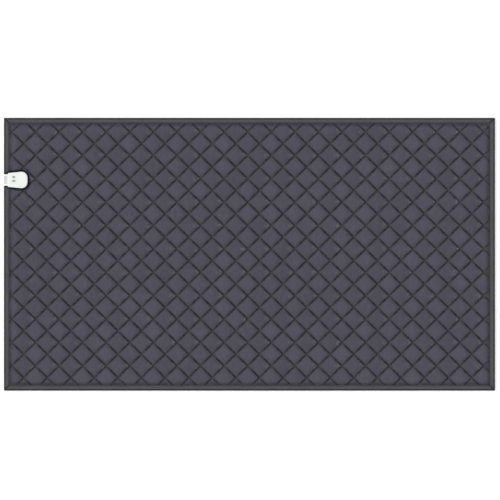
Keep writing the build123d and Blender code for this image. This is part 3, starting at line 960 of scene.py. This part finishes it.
def seam_paths():
    """The quilting's seams as runs of points, where they show."""
    seen = used & (inset > SEAMS_START) & (off_ring > SEAMS_OFF_GASKET)
    place = np.zeros((*count_a.shape, 3))
    place[used] = top
    place[..., 2] += SEAM_PROUD
    paths = []
    rows = [(seen[k], place[k]) for k in range(0, count_a.shape[0], diamond)]
    rows += [(seen[:, k], place[:, k]) for k in range(0, count_a.shape[1], diamond)]
    for shown, points in rows:
        run = []
        for ok, point in zip(shown, points):
            if ok:
                run.append(point.tolist())
            elif run:
                paths.append(run)
                run = []
        paths.append(run)
    return [run for run in paths if len(run) > 3]


lock_stitch = stitch_tree()
quilt_stitches = grown(
    "quilt_stitches",
    seam_paths(),
    lock_stitch,
    {**QUILT_STITCH, "Finish": SEWING_THREAD},
)
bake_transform(quilt_stitches)


# ---- Flat layers under the quilting


def slab(name, low, thickness, slot):
    """A flat layer with straight sides, cut round the inlet, with columns at the fold."""
    ends, sides = HALF_LENGTH - LAYER_INSET, HALF_WIDTH - LAYER_INSET
    corners = [(-ends, -sides), (ends, -sides), (ends, sides), (-ends, sides)]
    notch = inlet_outline(GASKET_WIDTH + LAYER_CLEARANCE, LAYER_INSET)
    bm = bmesh.new()
    bm.faces.new([bm.verts.new((*point, low)) for point in corners + notch])
    for column in fold_columns:
        geometry = bm.verts[:] + bm.edges[:] + bm.faces[:]
        bmesh.ops.bisect_plane(bm, geom=geometry, plane_co=(column, 0, 0), plane_no=(1, 0, 0))
    raised = bmesh.ops.extrude_face_region(bm, geom=bm.faces[:], use_keep_orig=True)
    upper = [item for item in raised["geom"] if isinstance(item, bmesh.types.BMVert)]
    bmesh.ops.translate(bm, verts=upper, vec=(0, 0, thickness))
    bmesh.ops.recalc_face_normals(bm, faces=bm.faces[:])
    mesh = bpy.data.meshes.new(name)
    bm.to_mesh(mesh)
    bm.free()
    return finished(name, mesh, slot)


base_wadding = slab("base_wadding", *BASE_WADDING, "wadding")
across_fold(base_wadding, "base_wadding")
film = slab("reflective_film", *FILM_LAYER, "reflective_film")
across_fold(film, "reflective_film")
felt = slab("heater_felt", *FELT_LAYER, "heater_felt")
across_fold(felt, "heater_felt")


def spaced(low, high, step):
    """Even steps from low to high, and the fold's own columns where they are crossed."""
    even = np.linspace(low, high, max(2, round((high - low) / step) + 1))
    inside = fold_columns[(fold_columns > low) & (fold_columns < high)]
    even = even[(np.abs(even) > FOLD_CLEAR) | (len(inside) == 0)]
    return np.unique(np.concatenate([even, inside]))


def with_rims(steps, half):
    """Mesh lines from one side to the other, and those where the underside turns up."""
    rim = np.array(UNDER_RIM)
    return np.unique(np.concatenate([steps, rim - half, half - rim]))


def underside_mesh():
    """Points and faces of the underside's cloth: a closed sheet that turns up at its rim."""
    columns = with_rims(spaced(RIM - HALF_LENGTH, HALF_LENGTH - RIM, UNDER_STEP), HALF_LENGTH)
    rows = with_rims(np.linspace(RIM - HALF_WIDTH, HALF_WIDTH - RIM, UNDER_ROWS), HALF_WIDTH)
    at_x, at_y = np.meshgrid(columns, rows, indexing="ij")
    low = np.interp(inset_of(at_x, at_y), UNDER_RIM, [UNDER_RISE, 0])
    outer = np.stack([at_x, at_y, low], axis=-1).reshape(-1, 3)
    number = np.arange(at_x.size).reshape(at_x.shape)
    corners = [number[:-1, :-1], number[:-1, 1:], number[1:, 1:], number[1:, :-1]]
    squares = np.stack(corners, axis=-1).reshape(-1, 4)
    points = np.concatenate([outer, outer + np.array([0, 0, UNDER_THICKNESS])])
    inner_squares = squares[:, ::-1] + len(outer)
    return points, squares.tolist() + inner_squares.tolist() + edge_walls(squares, len(outer))


under_points, under_faces = underside_mesh()
underside = cloth_piece(
    "underside_cover", under_points, under_faces, "backing_fabric", np.zeros(len(under_points))
)
across_fold(underside, "bottom_cover")


# ---- Heating wire: a serpentine in each half and the return lead, one run over the fold

WIRE_Z = 0.0084
WIRE_DIAMETER = 0.0022
RUNS = 11
RUN_START = 0.78
FOLD_TURN = 0.06
RUN_END_Y = 0.43
RETURN_Y = 0.455
# Where the two leads leave the inlet, and the radii of their bends
LEAD_START = 0.065
LEAD_SPREAD = 0.008
LEAD_BEND = 0.02
RETURN_BEND = 0.03
CRIMP_FROM_RUNS = 0.06
# A bend has a point at least every so many degrees. A straight stretch nearer to the long sides
# than this crosses the fold, so it has points along it too
BEND_STEP = 15
ALONG_SIDE_Y = 0.45
ALONG_SIDE_STEP = 0.005
half_pitch = (RUN_START - FOLD_TURN) / (RUNS - 1) / 2
lead_end = LEAD_START - HALF_LENGTH
lead_length = -RUN_START - LEAD_BEND - lead_end


def route(start, heading, moves):
    """Points along a wire: a move is a length, or a (radius, degrees) bend."""
    at, way = complex(*start), complex(*heading)
    points = [at]
    for move in moves:
        if isinstance(move, tuple):
            radius, turned = move
            centre = at + way * 1j * math.copysign(radius, turned)
            steps = max(3, round(abs(turned) / BEND_STEP))
            for step in range(1, steps + 1):
                angle = math.radians(turned * step / steps)
                swing = complex(math.cos(angle), math.sin(angle))
                points.append(centre + (at - centre) * swing)
            at, way = points[-1], way * swing
        else:
            crosses = abs(at.imag) >= ALONG_SIDE_Y
            steps = max(1, round(move / ALONG_SIDE_STEP)) if crosses else 1
            points += [at + way * move * (k + 1) / steps for k in range(steps)]
            at = points[-1]
    return [(p.real, p.imag, WIRE_Z) for p in points]


def serpentine(first, way):
    """Runs along Y with a half turn between each two, and a wider turn over the fold."""
    moves = [first]
    for _ in range(1, RUNS):
        moves += [(half_pitch, way * 180), 2 * (RUN_END_Y - half_pitch)]
        way = -way
    moves[-1] -= FOLD_TURN - half_pitch
    return moves


supply = INLET_Y - LEAD_SPREAD
inlet_wire = route(
    (lead_end, supply),
    (1, 0),
    [
        lead_length,
        (LEAD_BEND, -90),
        *serpentine(supply - LEAD_BEND + RUN_END_Y - half_pitch, 1),
        (FOLD_TURN, 90),
    ],
)
crimp_x = RUN_START - CRIMP_FROM_RUNS
far_wire = route(
    (crimp_x, RETURN_Y),
    (1, 0),
    [
        RUN_START - RETURN_BEND - crimp_x,
        (RETURN_BEND, -90),
        *serpentine(RETURN_Y - RETURN_BEND + RUN_END_Y - half_pitch, -1),
        (FOLD_TURN, -90),
    ],
)
return_lead = route(
    (crimp_x, RETURN_Y),
    (-1, 0),
    [
        crimp_x + RUN_START - RETURN_BEND,
        (RETURN_BEND, 90),
        RETURN_Y - RETURN_BEND - INLET_Y - LEAD_SPREAD - LEAD_BEND,
        (LEAD_BEND, -90),
        lead_length,
    ],
)
laid_wire = wire_tree()
wire_values = {"Diameter": WIRE_DIAMETER, "Sides": 8, "Finish": WIRE_RUBBER}
for name, path in (
    ("heating_wire", inlet_wire + far_wire[-2::-1]),
    ("return_lead", return_lead),
):
    across_fold(grown(name, [path], laid_wire, wire_values), name)


# ---- Edge binding: a folded tape round the rim, mitred at the corners

# The tape's outside from its lower edge round to its upper one, and its inside back again,
# as distances from the blanket's edge and heights, in millimetres, with how much painted shade
# each has:
# darkest at the outer fold, in the valley by the seam and on the inside
TAPE = (
    (20, 0.5, 0.4),
    (19.2, 0.1, 0.2),
    (13, 0, 0),
    (6, 0, 0),
    (3, 0.05, 0.3),
    (1.1, 0.6, 0.8),
    (0.2, 2, 1),
    (0, 4, 1),
    (0, 6, 1),
    (0.3, 7.8, 1),
    (1.2, 9.2, 1),
    (2.6, 10, 1),
    (4.6, 10.5, 0.78),
    (7.5, 10.8, 0.15),
    (11, 10.8, 0),
    (14, 10.5, 0.1),
    (16.4, 10, 0.3),
    (17.3, 9.75, 0.5),
    (18.2, 9.8, 0.35),
    (19.4, 9.5, 0.5),
    (20, 9, 0.9),
    (19.5, 8.6, 1),
    (16, 9, 1),
    (8, 9.6, 1),
    (3.4, 9.1, 1),
    (1.5, 8, 1),
    (1.1, 5, 1),
    (1.4, 2, 1),
    (3, 1.1, 1),
    (19.5, 1.1, 1),
)
# Mesh lines at a strip's ends, how far from them the even ones start, and their spacing
END_STATIONS = (0, 0.0012, 0.003, 0.006, 0.011)
END_CLEAR = 0.013
STATION_STEP = 0.009
# How far from a mitre the tape is drawn back and painted dark as shade, how far it dips there, and
# where on its profile the upper side begins
MITRE_RUN = 0.05
MITRE_SHADE = 0.0065
MITRE_DIP = 0.0011
UPPER_SIDE_Z = 0.007
TAPE_OVER_GASKET = 0.0003
MM = 0.001


def tape_strip(name, side, low, high, mitres):
    """A run of tape along one side of the blanket. side names its outward direction, low and
    high are its ends along the side, and mitres says which of them are mitred."""
    along_x = side[0] == 0
    edge = HALF_WIDTH if along_x else HALF_LENGTH
    outward = sum(side)
    if along_x:
        even = spaced(low, high, STATION_STEP)
    else:
        even = np.linspace(low, high, round((high - low) / STATION_STEP))
    even = even[(even > low + END_CLEAR) & (even < high - END_CLEAR)]
    ends = np.array(END_STATIONS)
    stations = np.concatenate([low + ends, even, high - ends[::-1]])
    profile = np.array(TAPE) * [MM, MM, 1]
    points, crease_shades = [], []
    for station in stations:
        from_low, from_high = station - low, high - station
        to_mitre = min(
            from_low if mitres[0] else MITRE_SHADE, from_high if mitres[1] else MITRE_SHADE
        )
        at_end = min(1, max(0, 1.5 * (1 - to_mitre / MITRE_SHADE)))
        # The tape wanders by a fraction of a millimetre along the blanket
        sway = 0.00022 * math.sin(station * 171 + 3 * outward) + 0.00018 * math.sin(station * 293)
        for d, height, crease_shade in profile:
            # Near a mitre each line of the tape is drawn back by its distance from the edge
            start = low + mitres[0] * d
            end = high - mitres[1] * d
            at = min(max(station, start + from_low * 0.4), end - from_high * 0.4)
            if from_low < MITRE_RUN and mitres[0]:
                at = start + from_low * (low + MITRE_RUN - start) / MITRE_RUN
            if from_high < MITRE_RUN and mitres[1]:
                at = end - from_high * (end - high + MITRE_RUN) / MITRE_RUN
            upper = height > UPPER_SIDE_Z
            rise = height + (sway - MITRE_DIP * at_end) * upper * (d > 0.002)
            deep = d + 0.8 * sway * (d > 0.015)
            where = (at, outward * (edge - deep)) if along_x else (outward * (edge - deep), at)
            points.append((*where, rise))
            # Painted shade, and near a mitre the upper side painted dark as shade too
            crease_shades.append(max(crease_shade, at_end if upper else 0))
    around, last = len(profile), len(stations) - 1
    faces = []
    for row in range(last):
        for k in range(around):
            a, b = row * around + k, row * around + (k + 1) % around
            faces.append([a, b, b + around, a + around])
    faces.append(list(range(around))[::-1])
    faces.append([last * around + k for k in range(around)])
    made = cloth_piece(name, points, faces, "binding_fabric", crease_shades)
    bm = bmesh.new()
    bm.from_mesh(made.data)
    bmesh.ops.recalc_face_normals(bm, faces=bm.faces[:])
    bm.to_mesh(made.data)
    bm.free()
    return made


# Half the gap in the inlet end's tape, whose ends lie a little over the gasket
half_gap = NECK_HALF_WIDTH + GASKET_WIDTH - TAPE_OVER_GASKET
back_tape = tape_strip("back_binding", (0, 1), -HALF_LENGTH, HALF_LENGTH, (1, 1))
across_fold(back_tape, "back_binding")
front_tape = tape_strip("front_binding", (0, -1), -HALF_LENGTH, HALF_LENGTH, (1, 1))
across_fold(front_tape, "front_binding")
far_tape = tape_strip("far_end_tape", (1, 0), -HALF_WIDTH, HALF_WIDTH, (1, 1))
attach(far_tape, "far_half")
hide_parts("far_end_binding")
inlet_back_tape = tape_strip("inlet_back_tape", (-1, 0), INLET_Y + half_gap, HALF_WIDTH, (0, 1))
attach(inlet_back_tape, "inlet_half")
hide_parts("inlet_end_back_binding")
inlet_front_tape = tape_strip("inlet_front_tape", (-1, 0), -HALF_WIDTH, INLET_Y - half_gap, (1, 0))
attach(inlet_front_tape, "inlet_half")
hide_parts("inlet_end_front_binding")

SEAM_INSET = 0.0173
SEAM_TOP = 0.0099
SEAM_STEP = 0.01
SEAM_POINTS = 60


def tape_seam_paths():
    """The binding's seam as runs of points, one on each side of the inlet and of the blanket."""
    long_side, short_side = HALF_LENGTH - SEAM_INSET, HALF_WIDTH - SEAM_INSET
    along = spaced(-long_side, long_side, SEAM_STEP).tolist()
    paths = [[(at, sign * short_side, SEAM_TOP) for at in along] for sign in (-1, 1)]
    for at, low, high in (
        (long_side, -short_side, short_side),
        (-long_side, -short_side, INLET_Y - half_gap),
        (-long_side, INLET_Y + half_gap, short_side),
    ):
        across = np.linspace(low, high, SEAM_POINTS).tolist()
        paths.append([(at, place, SEAM_TOP) for place in across])
    return paths


tape_stitches = grown(
    "binding_stitches",
    tape_seam_paths(),
    lock_stitch,
    {**TAPE_STITCH, "Finish": SEWING_THREAD},
)
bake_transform(tape_stitches)


# ---- Finishes of the CAD parts that show as they are

for part in frame["record"]["subparts"]:
    for spot in frame["nodes"][part["node"]].material_slots:
        spot.material = FINISHES[part["material_slot"]]
frame["nodes"]["contact_carrier"].material_slots[0].material = PALE_ABS
# The sleeve is painted lighter than the body's plastic: painted light
frame["nodes"]["socket_sleeve"].material_slots[0].material = SLEEVE_ABS_PAINTED_LIGHTER


# ---- Floor, light and camera

# The camera looks straight down at this place, and shows this width there
VIEW_CENTRE = (0.002, 0.0156, 0.006)
VIEW_WIDTH = 1.833
LENS = 200
SENSOR = 36
FLOOR_REACH = 20

board = bpy.data.meshes.new("floor")
corners = [(a * FLOOR_REACH, b * FLOOR_REACH, 0) for a, b in ((-1, -1), (1, -1), (1, 1), (-1, 1))]
board.from_pydata(corners, [], [(0, 1, 2, 3)])
board.materials.append(FLOOR_PAINT)
floor = linked("floor", board)

world = bpy.data.worlds.new("soft white studio")
world.use_nodes = True
sky = world.node_tree.nodes["Background"]
sky.inputs["Color"].default_value = (1, 1, 1, 1)
sky.inputs["Strength"].default_value = 1.15
bpy.context.scene.world = world

lamp = bpy.data.lights.new("side light", "SUN")
lamp.energy = 1.4
lamp.angle = math.radians(25)
side_light = linked("side light", lamp)
side_light.rotation_euler = (math.radians(-12), math.radians(-48), 0)

eye = bpy.data.cameras.new("overhead")
eye.lens = LENS
eye.sensor_width = SENSOR
eye.clip_end = 100
overhead = linked("overhead", eye)
overhead.location = (*VIEW_CENTRE[:2], VIEW_WIDTH * LENS / SENSOR + VIEW_CENTRE[2])
bpy.context.scene.camera = overhead
bpy.context.scene.view_settings.view_transform = "Standard"
